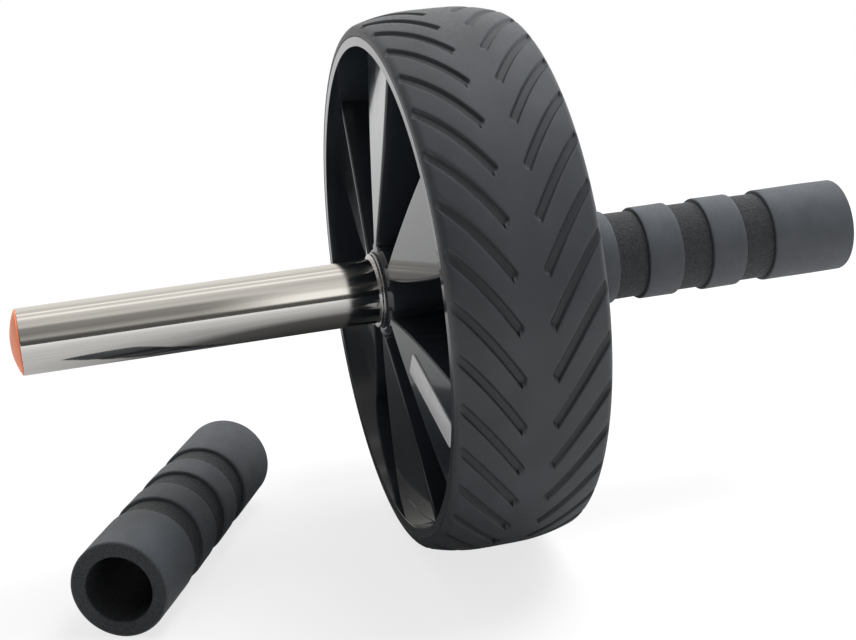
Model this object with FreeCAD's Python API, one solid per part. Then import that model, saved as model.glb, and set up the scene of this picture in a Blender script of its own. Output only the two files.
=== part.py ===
import FreeCAD, Part
import math
import os

# Ab wheel roller. Millimetres, +Z up, floor under the wheel at the origin, axle along Y.
# Angles around the axle are counted from straight up towards +X.

# Axle tube
tube_diameter = 25.0
tube_wall = 1.5
tube_length = 329.0

# Fits shared by all pieces
running_clearance = 0.06
seat_clearance = 0.02
assembly_clearance = 0.15
end_play = 0.15
overrun = 2.0

# Tyre
tyre_radius = 104.0
tyre_width = 56.0
tread_flat_width = 12.0
tread_crown_radius = 63.0
tyre_shoulder_radius = 4.0
tyre_thickness = 10.0

# Tread slots, mirrored about the middle of the tyre
slot_count = 36
slot_width = 3.5
slot_depth = 1.3
slot_inner_edge = 5.2
slot_outer_margin = 0.7
slot_lead_angle = 15.0
slot_first_angle = 6.3

# Rim barrel with a flange beside each edge of the tyre, and the hubs of the two spoke stars inside it
rim_wall = 3.0
rim_draft = 0.8
rim_flange_height = 2.6
rim_flange_thickness = 1.5
rim_mouth_flare = 1.9
hub_wall = 2.3
hub_length = 58.4
hub_chamfer = 1.6

# Wedge spokes of each star, narrow at the hub and wide at the rim, their faces turned like fan blades
spoke_count = 6
spoke_root_width = 3.2
spoke_tip_width = 46.4
spoke_side_bulge = 2.2
spoke_root_height = 29.0
spoke_tip_height = 21.4
spoke_bevel = 0.8
spoke_pitch = 4.4

# Screws that pull the stars together
screw_rim_margin = 31.0
screw_shank_diameter = 3.5
screw_length = 18.0
screw_head_diameter = 7.2
screw_head_height = 2.6
screw_seat_depth = 8.0
screw_recess_width = 0.9
screw_recess_length = 4.2
screw_recess_depth = 1.4

# Flanged bushes
bush_wall = 1.5
bush_length = 18.0
bush_flange_width = 0.82
bush_flange_thickness = 1.5
bush_flange_proud = 0.2

# Thrust washers and retaining rings
washer_width = 1.94
washer_thickness = 0.8
ring_width = 2.28
ring_thickness = 1.0
ring_groove_depth = 0.6
ring_groove_play = 0.05
ring_gap_angle = 44.0
ring_gap_direction = 230.0
ring_lug_radius = 1.7
ring_lug_hole_radius = 0.7
ring_lug_overlap_share = 0.8

# End plugs
plug_dome_height = 3.4
plug_rim_height = 0.5
plug_rim_inset = 0.2
plug_stem_length = 16.0
plug_stem_wall = 1.6
plug_rib_count = 3
plug_rib_depth = 0.5
plug_rib_width = 1.6

# Plate on one spoke
plate_spoke = 2
plate_length = 40.0
plate_width = 9.6
plate_thickness = 0.5
plate_corner_radius = 1.2
plate_rim_margin = 11.0
plate_side_offset = 0.2

# Foam grips
grip_wall = 5.94
grip_length = 132.0
grip_groove_width = 12.4
grip_groove_pitch = 27.0
grip_groove_count = 3
grip_groove_shift = 1.8
grip_groove_depth = 1.3
grip_end_round = 1.0
grip_land_round = 0.8
grip_mouth_round = 0.8
grip_ring_gap = 1.15

# Where the grip that is off lies: its near end on the floor, and its heading
loose_grip_x = 41.1
loose_grip_y = -143.2
loose_grip_heading = -25.8

# Sizes that follow from those above
tube_radius = tube_diameter / 2
tube_bore_radius = tube_radius - tube_wall
tube_half = tube_length / 2
tube_hole_radius = tube_radius + running_clearance
rim_radius = tyre_radius - tyre_thickness
rim_half = tyre_width / 2
rim_seat_half = rim_half - rim_flange_thickness
rim_flange_radius = rim_radius + rim_flange_height
rim_inner_radius = rim_radius - rim_wall
screw_circle_radius = rim_inner_radius - screw_rim_margin
plate_centre_radius = rim_inner_radius - plate_rim_margin - plate_length / 2
slot_outer_edge = tyre_width / 2 - slot_outer_margin
bush_radius = tube_hole_radius + bush_wall
bush_hole_radius = bush_radius + seat_clearance
flange_radius = bush_radius + bush_flange_width
flange_hole_radius = flange_radius + seat_clearance
hub_radius = flange_hole_radius + hub_wall
hub_half = hub_length / 2
bush_face = hub_half + bush_flange_proud
washer_start = bush_face + end_play
ring_start = washer_start + washer_thickness
ring_end = ring_start + ring_thickness
ring_inner_radius = tube_radius - ring_groove_depth + seat_clearance
ring_outer_radius = ring_inner_radius + ring_width
grip_start = ring_end + grip_ring_gap
grip_radius = tube_hole_radius + grip_wall
axle_height = tyre_radius

origin = FreeCAD.Vector(0, 0, 0)
along_x = FreeCAD.Vector(1, 0, 0)
along_y = FreeCAD.Vector(0, 1, 0)
along_z = FreeCAD.Vector(0, 0, 1)
left = 1
right = -1


# Helpers. Round pieces are turned about local Z, and spokes point along local X.
def point(x, y, z=0):
    return FreeCAD.Vector(x, y, z)


def line(start, end):
    return Part.LineSegment(start, end).toShape()


def arc(start, middle, end):
    return Part.Arc(start, middle, end).toShape()


def lathe_edges(edges):
    face = Part.Face(Part.Wire(edges))
    return face.revolve(origin, along_z, 360)


def lathe(profile):
    corners = [point(radius, 0, height) for radius, height in profile]
    loop = Part.makePolygon(corners + corners[:1])
    return Part.Face(loop).revolve(origin, along_z, 360)


def ring(inner, outer, low, high):
    return lathe([(inner, low), (outer, low), (outer, high), (inner, high)])


def prism(corners, height):
    loop = Part.makePolygon(corners + corners[:1])
    return Part.Face(loop).extrude(FreeCAD.Vector(0, 0, height))


def turned(shape, angle):
    copy = shape.copy()
    copy.rotate(origin, along_z, angle)
    return copy


def on_axle(shape, side):
    # Local Z points out of the wheel on the given side, and local Y is up on the left side.
    copy = shape.copy()
    copy.rotate(origin, along_x, side * 90)
    copy.translate(FreeCAD.Vector(0, 0, axle_height))
    return copy


def clock_angle(angle):
    # Local X turned to an angle that is counted from local Y towards local X.
    return 90 - angle


# Axle tube with a groove for each retaining ring
def make_tube():
    tube = ring(tube_bore_radius, tube_radius, -tube_half, tube_half)
    low = ring_start - ring_groove_play
    high = ring_end + ring_groove_play
    groove = ring(tube_radius - ring_groove_depth, tube_radius + overrun, low, high)
    far_groove = groove.mirror(origin, along_z)
    return tube.cut([groove, far_groove])


# Domed plug with a hollow ribbed stem
def make_plug():
    stem_radius = tube_bore_radius - seat_clearance
    stem_inner = stem_radius - plug_stem_wall
    cap_radius = tube_radius - plug_rim_inset
    rim_top = tube_half + plug_rim_height
    dome_top = tube_half + plug_dome_height
    dome_rise = dome_top - rim_top
    dome_radius = (cap_radius ** 2 + dome_rise ** 2) / (2 * dome_rise)
    half_angle = math.asin(cap_radius / dome_radius) / 2
    dome_centre = dome_top - dome_radius
    middle = point(dome_radius * math.sin(half_angle), 0, dome_centre + dome_radius * math.cos(half_angle))
    edge = point(cap_radius, 0, rim_top)
    top = point(0, 0, dome_top)
    stem_end = tube_half - plug_stem_length
    corners = [
        top,
        point(0, 0, tube_half),
        point(stem_inner, 0, tube_half),
        point(stem_inner, 0, stem_end),
        point(stem_radius, 0, stem_end),
        point(stem_radius, 0, tube_half),
        point(cap_radius, 0, tube_half),
        edge,
    ]
    edges = [line(start, end) for start, end in zip(corners, corners[1:])]
    edges.append(arc(edge, middle, top))
    plug = lathe_edges(edges)
    pitch = plug_stem_length / (plug_rib_count + 1)
    grooves = []
    for number in range(plug_rib_count):
        centre = stem_end + pitch * (number + 1)
        low = centre - plug_rib_width / 2
        high = centre + plug_rib_width / 2
        grooves.append(ring(stem_radius - plug_rib_depth, stem_radius + overrun, low, high))
    return plug.cut(grooves)


def make_washer():
    return ring(tube_hole_radius, tube_hole_radius + washer_width, washer_start, ring_start)


# Open ring with a drilled lug at each end
def make_retaining_ring():
    body = ring(ring_inner_radius, ring_outer_radius, ring_start, ring_end)
    reach = ring_outer_radius + ring_lug_radius + overrun
    half_gap = math.radians(ring_gap_angle / 2)
    across = reach * math.tan(half_gap)
    gap = prism([point(0, 0), point(reach, -across), point(reach, across)], ring_thickness)
    gap.translate(FreeCAD.Vector(0, 0, ring_start))
    lug_turn = math.degrees(half_gap + ring_lug_overlap_share * ring_lug_radius / ring_outer_radius)
    lugs = []
    holes = []
    for turn in (-lug_turn, lug_turn):
        base = point(ring_outer_radius, 0, ring_start)
        lugs.append(turned(Part.makeCylinder(ring_lug_radius, ring_thickness, base), turn))
        holes.append(turned(Part.makeCylinder(ring_lug_hole_radius, ring_thickness, base), turn))
    body = body.multiFuse(lugs).cut([gap] + holes)
    return turned(body, clock_angle(ring_gap_direction))


def make_bush():
    flange_start = bush_face - bush_flange_thickness
    return lathe([
        (tube_hole_radius, bush_face - bush_length),
        (bush_radius, bush_face - bush_length),
        (bush_radius, flange_start),
        (flange_radius, flange_start),
        (flange_radius, bush_face),
        (tube_hole_radius, bush_face),
    ])


# Height of a spoke's face above the split between the stars, along the spoke's middle
def spoke_height(radius):
    share = (radius - hub_radius) / (rim_inner_radius - hub_radius)
    return spoke_root_height + share * (spoke_tip_height - spoke_root_height)


# Half of a spoke's width between its bulging sides
def spoke_half_width(radius):
    share = (radius - hub_radius) / (rim_inner_radius - hub_radius)
    straight = spoke_root_width + share * (spoke_tip_width - spoke_root_width)
    return straight / 2 + spoke_side_bulge * 4 * share * (1 - share)


# Block with a sloping, turned top between two radii, its long sides bulging
def wedge(start, end):
    radii = [start, (start + end) / 2, end]
    low = [point(radius, -spoke_half_width(radius)) for radius in radii]
    high = [point(radius, spoke_half_width(radius)) for radius in radii]
    edges = [
        arc(low[0], low[1], low[2]),
        line(low[2], high[2]),
        arc(high[2], high[1], high[0]),
        line(high[0], low[0]),
    ]
    block = Part.Face(Part.Wire(edges)).extrude(FreeCAD.Vector(0, 0, spoke_root_height + overrun))
    reach = spoke_tip_width
    lean = reach * math.tan(math.radians(spoke_pitch))
    top = spoke_root_height + 2 * overrun + lean
    side = [
        point(start - overrun, -reach, spoke_height(start - overrun) + lean),
        point(end + overrun, -reach, spoke_height(end + overrun) + lean),
        point(end + overrun, -reach, top),
        point(start - overrun, -reach, top),
    ]
    loop = Part.makePolygon(side + side[:1])
    above = Part.Face(loop).extrude(FreeCAD.Vector(0, 2 * reach, -2 * lean))
    return block.cut(above)


# The two long edges of a wedge's top face
def long_top_edges(block):
    edges = []
    shortest = block.BoundBox.XLength / 2
    for edge in block.Edges:
        low = min(vertex.Point.z for vertex in edge.Vertexes)
        if low > 0 and edge.BoundBox.XLength > shortest:
            edges.append(edge)
    return edges


# Spoke from the hub's outside to the middle of the rim's wall, with a foot that runs into the hub
def make_spoke():
    end = rim_inner_radius + rim_wall / 2
    block = wedge(hub_radius, end)
    block = block.makeChamfer(spoke_bevel, long_top_edges(block))
    foot_length = hub_radius - bush_hole_radius
    corner = point(hub_radius - foot_length / 2, -spoke_root_width / 2)
    foot = Part.makeBox(foot_length, spoke_root_width, hub_half - hub_chamfer, corner)
    return block.fuse(foot)


# Barrel that carries the tyre between two flanges, narrowing inside from both mouths to its middle
def make_barrel():
    side = [
        (rim_inner_radius + rim_mouth_flare, rim_half),
        (rim_flange_radius, rim_half),
        (rim_flange_radius, rim_seat_half),
        (rim_radius, rim_seat_half),
    ]
    far_side = [(radius, -height) for radius, height in reversed(side)]
    return lathe([(rim_inner_radius - rim_draft, 0)] + side + far_side)


# Everything outside the taper that the spokes' ends sit in
def make_outside():
    mouth = rim_inner_radius - assembly_clearance
    reach = math.hypot(rim_radius, spoke_tip_width / 2) + overrun
    return lathe([
        (mouth - rim_draft, 0),
        (mouth - rim_draft, -overrun),
        (reach, -overrun),
        (reach, rim_half),
        (mouth + rim_mouth_flare, rim_half),
    ])


# One moulded star: hub and six wedge spokes, standing on the split at local Z zero
def make_star(side):
    flange_floor = bush_face - bush_flange_thickness
    hub = lathe([
        (bush_hole_radius, 0),
        (hub_radius, 0),
        (hub_radius, hub_half - hub_chamfer),
        (hub_radius - hub_chamfer, hub_half),
        (flange_hole_radius, hub_half),
        (flange_hole_radius, flange_floor),
        (bush_hole_radius, flange_floor),
    ])
    spoke = make_spoke()
    centre = point(screw_circle_radius, 0)
    shank_hole_radius = screw_shank_diameter / 2 + seat_clearance
    head_hole_radius = screw_head_diameter / 2 + running_clearance
    if side == right:
        hole = Part.makeCylinder(shank_hole_radius, screw_seat_depth, centre)
        seat = point(screw_circle_radius, 0, screw_seat_depth)
        well = Part.makeCylinder(head_hole_radius, spoke_root_height, seat)
        tools = [hole, well]
    else:
        tools = [Part.makeCylinder(shank_hole_radius, screw_length - screw_seat_depth + overrun, centre)]
    turns = [clock_angle(number * 360 / spoke_count) for number in range(spoke_count)]
    spokes = [turned(spoke, turn) for turn in turns]
    holes = [turned(tool, turn) for turn in turns for tool in tools]
    bore = Part.makeCylinder(bush_hole_radius, hub_length)
    return hub.multiFuse(spokes).cut([make_outside(), bore] + holes)


# Pan-head screw with a crossed recess, standing on the right star's seat
def make_screw():
    seat = screw_seat_depth
    shank = Part.makeCylinder(screw_shank_diameter / 2, screw_length, point(0, 0, seat - screw_length))
    head = Part.makeCylinder(screw_head_diameter / 2, screw_head_height, point(0, 0, seat))
    head = head.makeFillet(screw_head_height / 2, [head.Edges[0]])
    top = seat + screw_head_height
    tools = []
    for turn in (0, 90):
        corner = point(-screw_recess_length / 2, -screw_recess_width / 2, top - screw_recess_depth)
        slot = Part.makeBox(screw_recess_length, screw_recess_width, screw_recess_depth + overrun, corner)
        tools.append(turned(slot, turn))
    return shank.fuse(head).cut(tools)


def make_screws():
    screw = make_screw()
    screw.translate(point(screw_circle_radius, 0))
    return Part.makeCompound([turned(screw, number * 360 / spoke_count + 90) for number in range(spoke_count)])


# Thin plate with rounded corners that lies on a spoke's sloping face
def make_plate():
    corner = point(-plate_length / 2, -plate_width / 2)
    plate = Part.makeBox(plate_length, plate_width, plate_thickness, corner)
    uprights = []
    for edge in plate.Edges:
        if abs(edge.Vertexes[0].Point.z - edge.Vertexes[-1].Point.z) > plate_thickness / 2:
            uprights.append(edge)
    plate = plate.makeFillet(plate_corner_radius, uprights)
    rise = spoke_height(rim_inner_radius) - spoke_height(hub_radius)
    slope = math.degrees(math.atan2(rise, rim_inner_radius - hub_radius))
    plate.rotate(origin, along_x, -spoke_pitch)
    plate.rotate(origin, along_y, -slope)
    lift = plate_side_offset * math.tan(math.radians(spoke_pitch))
    plate.translate(point(plate_centre_radius, -plate_side_offset, spoke_height(plate_centre_radius) + lift))
    return turned(plate, clock_angle(plate_spoke * 360 / spoke_count))


# Points on half of the tyre's outer line, sunk by a depth: crown arc, then shoulder arc
def tread_line(sink):
    crown = tread_crown_radius - sink
    shoulder = tyre_shoulder_radius - sink / 2
    flat_end = tread_flat_width / 2
    edge = tyre_width / 2
    centre_radius = tyre_radius - tread_crown_radius
    turn = math.asin((edge - shoulder - flat_end) / (crown - shoulder))
    shoulder_centre = centre_radius + (crown - shoulder) * math.cos(turn)

    def on_crown(angle):
        return (centre_radius + crown * math.cos(angle), flat_end + crown * math.sin(angle))

    def on_shoulder(angle):
        return (shoulder_centre + shoulder * math.cos(angle), edge - shoulder + shoulder * math.sin(angle))

    quarter = math.pi / 2
    start = (tyre_radius - sink, flat_end)
    return [start, on_crown(turn / 2), on_crown(turn), on_shoulder((turn + quarter) / 2), on_shoulder(quarter)]


# Edges of the whole outer line, from the low side wall to the high one
def tread_edges(sink):
    high = [point(radius, 0, height) for radius, height in tread_line(sink)]
    low = [point(radius, 0, -height) for radius, height in tread_line(sink)]
    return [
        arc(low[4], low[3], low[2]),
        arc(low[2], low[1], low[0]),
        line(low[0], high[0]),
        arc(high[0], high[1], high[2]),
        arc(high[2], high[3], high[4]),
    ], low[4], high[4]


def make_tyre_body():
    edges, low, high = tread_edges(0)
    seat = rim_seat_half - seat_clearance
    seat_radius = rim_radius + assembly_clearance
    flange_gap_radius = rim_flange_radius + assembly_clearance
    inner = [
        (flange_gap_radius, rim_half),
        (flange_gap_radius, seat),
        (seat_radius, seat),
    ]
    corners = [high]
    corners += [point(radius, 0, height) for radius, height in inner]
    corners += [point(radius, 0, -height) for radius, height in reversed(inner)]
    corners.append(low)
    edges += [line(start, end) for start, end in zip(corners, corners[1:])]
    return lathe_edges(edges)


# Space outside the slots' floor
def make_slot_zone():
    edges, low, high = tread_edges(slot_depth)
    reach = tyre_radius + overrun
    outer_low = point(reach, 0, low.z)
    outer_high = point(reach, 0, high.z)
    edges += [line(high, outer_high), line(outer_high, outer_low), line(outer_low, low)]
    return lathe_edges(edges)


# Upright block with round ends, one slot's plan, along local X
def round_ended_block(half_run, half_width, height):
    corners = [
        point(-half_run, -half_width),
        point(half_run, -half_width),
        point(half_run + half_width, 0),
        point(half_run, half_width),
        point(-half_run, half_width),
        point(-half_run - half_width, 0),
    ]
    edges = [
        line(corners[0], corners[1]),
        arc(corners[1], corners[2], corners[3]),
        line(corners[3], corners[4]),
        arc(corners[4], corners[5], corners[0]),
    ]
    return Part.Face(Part.Wire(edges)).extrude(FreeCAD.Vector(0, 0, height))


# Both rows; the outer end of a slot is nearer the top of the wheel's front than its inner end
def make_slots():
    half_width = slot_width / 2
    middle_height = (slot_inner_edge + slot_outer_edge) / 2
    rise = (slot_outer_edge - slot_inner_edge) / 2 - half_width
    side_run = tyre_radius * math.radians(slot_lead_angle) / 2
    half_run = math.hypot(rise, side_run)
    slant = math.degrees(math.atan2(side_run, rise))
    zone = make_slot_zone()
    slots = []
    for row in (1, -1):
        block = round_ended_block(half_run, half_width, tyre_radius)
        block.rotate(origin, along_z, -row * slant)
        block.rotate(origin, along_y, 90)
        block.translate(point(rim_radius, 0, row * middle_height))
        slot = block.common(zone)
        for number in range(slot_count):
            angle = slot_first_angle - slot_lead_angle / 2 + number * 360 / slot_count
            slots.append(turned(slot, clock_angle(angle)))
    return slots


def make_tyre():
    return make_tyre_body().cut(Part.makeCompound(make_slots()))


# Foam grip from local Z zero upwards, with recessed bands a little nearer that end and rounded edges
def make_grip():
    radius = grip_radius
    bore = tube_hole_radius
    floor = radius - grip_groove_depth
    first = grip_length / 2 - grip_groove_shift - grip_groove_pitch * (grip_groove_count - 1) / 2
    steps = []
    for number in range(grip_groove_count):
        centre = first + number * grip_groove_pitch
        steps.append((centre - grip_groove_width / 2, centre + grip_groove_width / 2))
    round_share = 1 - math.sqrt(2) / 2
    here = point(bore, 0, grip_mouth_round)
    edges = [line(point(bore, 0, grip_length - grip_mouth_round), here)]

    def go(to):
        edges.append(line(here, to))
        return to

    def bend(radial_step, axial_step, convex_radial):
        end = point(here.x + radial_step, 0, here.z + axial_step)
        near = 1 - round_share if convex_radial else round_share
        middle = point(here.x + radial_step * near, 0, here.z + axial_step * (1 - near))
        edges.append(arc(here, middle, end))
        return end

    here = bend(grip_mouth_round, -grip_mouth_round, False)
    here = go(point(radius - grip_end_round, 0, 0))
    here = bend(grip_end_round, grip_end_round, True)
    for low, high in steps:
        here = go(point(radius, 0, low - grip_land_round))
        here = bend(-grip_land_round, grip_land_round, False)
        here = go(point(floor, 0, low))
        here = go(point(floor, 0, high))
        here = go(point(radius - grip_land_round, 0, high))
        here = bend(grip_land_round, grip_land_round, True)
    here = go(point(radius, 0, grip_length - grip_end_round))
    here = bend(-grip_end_round, grip_end_round, False)
    here = go(point(bore + grip_mouth_round, 0, grip_length))
    here = bend(-grip_mouth_round, -grip_mouth_round, True)
    return lathe_edges(edges)


# Laid on the floor with its near end at the named place, pointing along its heading
def lay_on_floor(grip):
    copy = grip.copy()
    copy.rotate(origin, along_y, -90)
    copy.rotate(origin, along_z, loose_grip_heading)
    copy.translate(point(loose_grip_x, loose_grip_y, grip_radius))
    return copy


def write(name, shape):
    shape.exportStep("parts/" + name + ".step")
    print(name, "solids", len(shape.Solids), "volume", round(shape.Volume, 1), "valid", shape.isValid())


os.makedirs("parts", exist_ok=True)
write("axle_tube", on_axle(make_tube(), left))
for side_name, side in (("left", left), ("right", right)):
    write(side_name + "_end_plug", on_axle(make_plug(), side))
    write(side_name + "_retaining_ring", on_axle(make_retaining_ring(), side))
    write(side_name + "_thrust_washer", on_axle(make_washer(), side))
    write(side_name + "_hub_bush", on_axle(make_bush(), side))
    write(side_name + "_spoke_star", on_axle(make_star(side), side))
write("rim_barrel", on_axle(make_barrel(), left))
write("wheel_screws", on_axle(make_screws(), right))
write("spoke_plate", on_axle(make_plate(), left))
write("tyre", on_axle(make_tyre(), left))
fitted_grip = make_grip()
fitted_grip.translate(point(0, 0, grip_start))
write("right_grip", on_axle(fitted_grip, right))
write("left_grip", lay_on_floor(make_grip()))
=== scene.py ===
import math
import bmesh
import bpy
from mathutils import Matrix, Vector


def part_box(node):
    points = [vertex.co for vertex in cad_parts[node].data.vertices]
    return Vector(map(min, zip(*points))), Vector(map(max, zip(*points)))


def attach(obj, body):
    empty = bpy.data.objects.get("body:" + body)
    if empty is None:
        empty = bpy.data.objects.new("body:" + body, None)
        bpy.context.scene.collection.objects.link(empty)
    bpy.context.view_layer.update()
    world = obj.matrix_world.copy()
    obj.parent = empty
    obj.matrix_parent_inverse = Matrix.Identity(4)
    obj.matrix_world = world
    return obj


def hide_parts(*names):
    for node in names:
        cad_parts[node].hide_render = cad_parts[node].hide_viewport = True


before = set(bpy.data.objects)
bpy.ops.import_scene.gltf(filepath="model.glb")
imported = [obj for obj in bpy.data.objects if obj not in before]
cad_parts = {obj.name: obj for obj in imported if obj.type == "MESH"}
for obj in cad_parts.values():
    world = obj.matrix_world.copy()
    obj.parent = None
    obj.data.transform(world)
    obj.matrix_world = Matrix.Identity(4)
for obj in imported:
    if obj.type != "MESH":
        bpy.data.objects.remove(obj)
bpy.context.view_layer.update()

mm = 0.001  # sizes below are in millimetres, meshes in metres
meshWeld = 0.002
copyWeld = 0.004
tinyRadius = 1e-6  # a line's point on the axle itself
white = (1.0, 1.0, 1.0)
evenly = (1.0, 1.0, 1.0)
tyreLow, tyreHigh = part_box("tyre")
axleCentre = (tyreLow + tyreHigh) / 2
tubeLow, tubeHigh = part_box("axle_tube")
tubeRadius = (tubeHigh.z - tubeLow.z) / 2 / mm
tubeHalf = (tubeHigh.y - tubeLow.y) / 2 / mm


# shared mesh helpers
def toAxle(radius, along, angle):  # angle in radians from straight up towards +X
    return Vector((radius * math.sin(angle), along, radius * math.cos(angle))) * mm


def roundPath(centre, radius, startDeg, endDeg, count):  # arc in (radius, along), 0 deg outwards
    points = []
    for step in range(count + 1):
        turn = math.radians(startDeg + (endDeg - startDeg) * step / count)
        points.append((centre[0] + radius * math.cos(turn), centre[1] + radius * math.sin(turn)))
    return points


def spread(low, high, count):
    return [low + (high - low) * step / count for step in range(count + 1)]


def ease(low, high, value):
    share = min(1.0, max(0.0, (value - low) / (high - low)))
    return share * share * (3 - 2 * share)


def meshFrom(name, bm, sharpDeg=40.0):
    bmesh.ops.remove_doubles(bm, verts=bm.verts, dist=meshWeld * mm)
    bmesh.ops.recalc_face_normals(bm, faces=bm.faces)
    mesh = bpy.data.meshes.new(name)
    bm.to_mesh(mesh)
    bm.free()
    smoothMesh(mesh, sharpDeg)
    return mesh


def smoothMesh(mesh, sharpDeg):
    mesh.polygons.foreach_set("use_smooth", [True] * len(mesh.polygons))
    mesh.set_sharp_from_angle(angle=math.radians(sharpDeg))


def addPiece(name, mesh, material=None):
    piece = bpy.data.objects.new(name, mesh)
    bpy.context.scene.collection.objects.link(piece)
    if material:
        mesh.materials.clear()
        mesh.materials.append(material)
    return piece


def bridge(bm, rings, around=True):  # quads between neighbouring rings of vertices
    for first, second in zip(rings, rings[1:]):
        for step in range(len(first) if around else len(first) - 1):
            after = (step + 1) % len(first)
            bm.faces.new([first[step], first[after], second[after], second[step]])


def mirrorLine(half):  # closes a half line with its mirror image across the middle
    other = [(radius, -along, *rest) for radius, along, *rest in half]
    return half + other[-2:0:-1]


def sideLine(line, side):
    return [(radius, side * along) for radius, along in line]


def latheInto(bm, profile, steps, closed=True):  # turns a (radius, along) line about the axle
    rings = []
    for radius, along in profile:
        if radius < tinyRadius:
            rings.append([bm.verts.new(toAxle(0, along, 0))])
        else:
            turns = [math.tau * step / steps for step in range(steps)]
            rings.append([bm.verts.new(toAxle(radius, along, turn)) for turn in turns])
    pairs = list(zip(rings, rings[1:]))
    if closed:
        pairs.append((rings[-1], rings[0]))
    for first, second in pairs:
        for step in range(steps):
            after = (step + 1) % steps
            corners = [first[step % len(first)], first[after % len(first)]]
            corners += [second[after % len(second)], second[step % len(second)]]
            unique = list(dict.fromkeys(corners))
            if len(unique) > 2:
                bm.faces.new(unique)


def moveMesh(mesh, matrix):
    mesh.transform(matrix)
    mesh.update()


def onAxle(mesh):  # from the wheel's own centre to its place in the frame
    moveMesh(mesh, Matrix.Translation(axleCentre))
    return mesh


def bakedMesh(piece):  # the piece's mesh with its modifiers applied
    evaluated = piece.evaluated_get(bpy.context.evaluated_depsgraph_get())
    return bpy.data.meshes.new_from_object(evaluated)


def cutBy(piece, tool):
    modifier = piece.modifiers.new("cut", "BOOLEAN")
    modifier.operation = "DIFFERENCE"
    modifier.object = tool


def settle(piece, body, slotName, *nodes):
    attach(piece, body)
    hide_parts(*nodes)


def settleOnAxle(name, bm, sharpDeg, material, body, slotName, node):
    piece = addPiece(name, onAxle(meshFrom(name, bm, sharpDeg)), material)
    settle(piece, body, slotName, node)


# one tree for everything that repeats around the axle
def buildCopiesTree():
    tree = bpy.data.node_groups.new("copiesRoundAxle", "GeometryNodeTree")
    sockets = {}
    wanted = {
        "Geometry": "Geometry", "Count": "Int", "Centre": "Vector", "Weld": "Float", "Finish": "Material",
    }
    for label, kind in wanted.items():
        socket = tree.interface.new_socket(label, in_out="INPUT", socket_type="NodeSocket" + kind)
        sockets[label] = socket.identifier
    tree.interface.new_socket("Geometry", in_out="OUTPUT", socket_type="NodeSocketGeometry")
    add = tree.nodes.new
    inputs = add("NodeGroupInput")
    outputs = add("NodeGroupOutput")
    points = add("GeometryNodePoints")
    index = add("GeometryNodeInputIndex")
    step = add("ShaderNodeMath")
    turn = add("ShaderNodeMath")
    euler = add("ShaderNodeCombineXYZ")
    rotation = add("FunctionNodeEulerToRotation")
    copies = add("GeometryNodeInstanceOnPoints")
    realize = add("GeometryNodeRealizeInstances")
    weld = add("GeometryNodeMergeByDistance")
    finish = add("GeometryNodeSetMaterial")
    step.operation = "DIVIDE"
    step.inputs[0].default_value = math.tau
    turn.operation = "MULTIPLY"
    link = tree.links.new
    link(inputs.outputs["Count"], points.inputs["Count"])
    link(inputs.outputs["Centre"], points.inputs["Position"])
    link(inputs.outputs["Count"], step.inputs[1])
    link(index.outputs["Index"], turn.inputs[0])
    link(step.outputs[0], turn.inputs[1])
    link(turn.outputs[0], euler.inputs["Y"])
    link(euler.outputs[0], rotation.inputs[0])
    link(points.outputs[0], copies.inputs["Points"])
    link(inputs.outputs["Geometry"], copies.inputs["Instance"])
    link(rotation.outputs[0], copies.inputs["Rotation"])
    link(copies.outputs[0], realize.inputs[0])
    link(realize.outputs[0], weld.inputs["Geometry"])
    link(inputs.outputs["Weld"], weld.inputs["Distance"])
    link(weld.outputs[0], finish.inputs["Geometry"])
    link(inputs.outputs["Finish"], finish.inputs["Material"])
    link(finish.outputs[0], outputs.inputs[0])
    return tree, sockets


copiesTree, copiesSockets = buildCopiesTree()


def repeatRoundAxle(name, mesh, count, material, sharpDeg):
    piece = addPiece(name, mesh)
    modifier = piece.modifiers.new("copies", "NODES")
    modifier.node_group = copiesTree
    modifier[copiesSockets["Count"]] = count
    modifier[copiesSockets["Centre"]] = axleCentre
    modifier[copiesSockets["Weld"]] = copyWeld * mm
    modifier[copiesSockets["Finish"]] = material
    result = bakedMesh(piece)
    piece.modifiers.clear()
    piece.data = result
    result.name = name
    smoothMesh(result, sharpDeg)
    return piece


# shader groups shared by the finishes
def buildGrainGroup():  # noise in metres of the object, spread between two values
    tree = bpy.data.node_groups.new("surfaceGrain", "ShaderNodeTree")
    for label in ("Scale", "Detail", "Low", "High"):
        tree.interface.new_socket(label, in_out="INPUT", socket_type="NodeSocketFloat")
    tree.interface.new_socket("Stretch", in_out="INPUT", socket_type="NodeSocketVector")
    tree.interface.new_socket("Value", in_out="OUTPUT", socket_type="NodeSocketFloat")
    add = tree.nodes.new
    inputs = add("NodeGroupInput")
    outputs = add("NodeGroupOutput")
    coords = add("ShaderNodeTexCoord")
    scale = add("ShaderNodeVectorMath")
    noise = add("ShaderNodeTexNoise")
    between = add("ShaderNodeMapRange")
    scale.operation = "MULTIPLY"
    between.inputs["From Min"].default_value = 0.3  # noise seldom leaves this span
    between.inputs["From Max"].default_value = 0.7
    link = tree.links.new
    link(coords.outputs["Object"], scale.inputs[0])
    link(inputs.outputs["Stretch"], scale.inputs[1])
    link(scale.outputs[0], noise.inputs["Vector"])
    link(inputs.outputs["Scale"], noise.inputs["Scale"])
    link(inputs.outputs["Detail"], noise.inputs["Detail"])
    link(noise.outputs["Fac"], between.inputs["Value"])
    link(inputs.outputs["Low"], between.inputs["To Min"])
    link(inputs.outputs["High"], between.inputs["To Max"])
    link(between.outputs[0], outputs.inputs[0])
    return tree


grainGroup = buildGrainGroup()


def startMaterial(name):
    material = bpy.data.materials.new(name)
    material.use_nodes = True
    return material, material.node_tree.nodes["Principled BSDF"]


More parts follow.
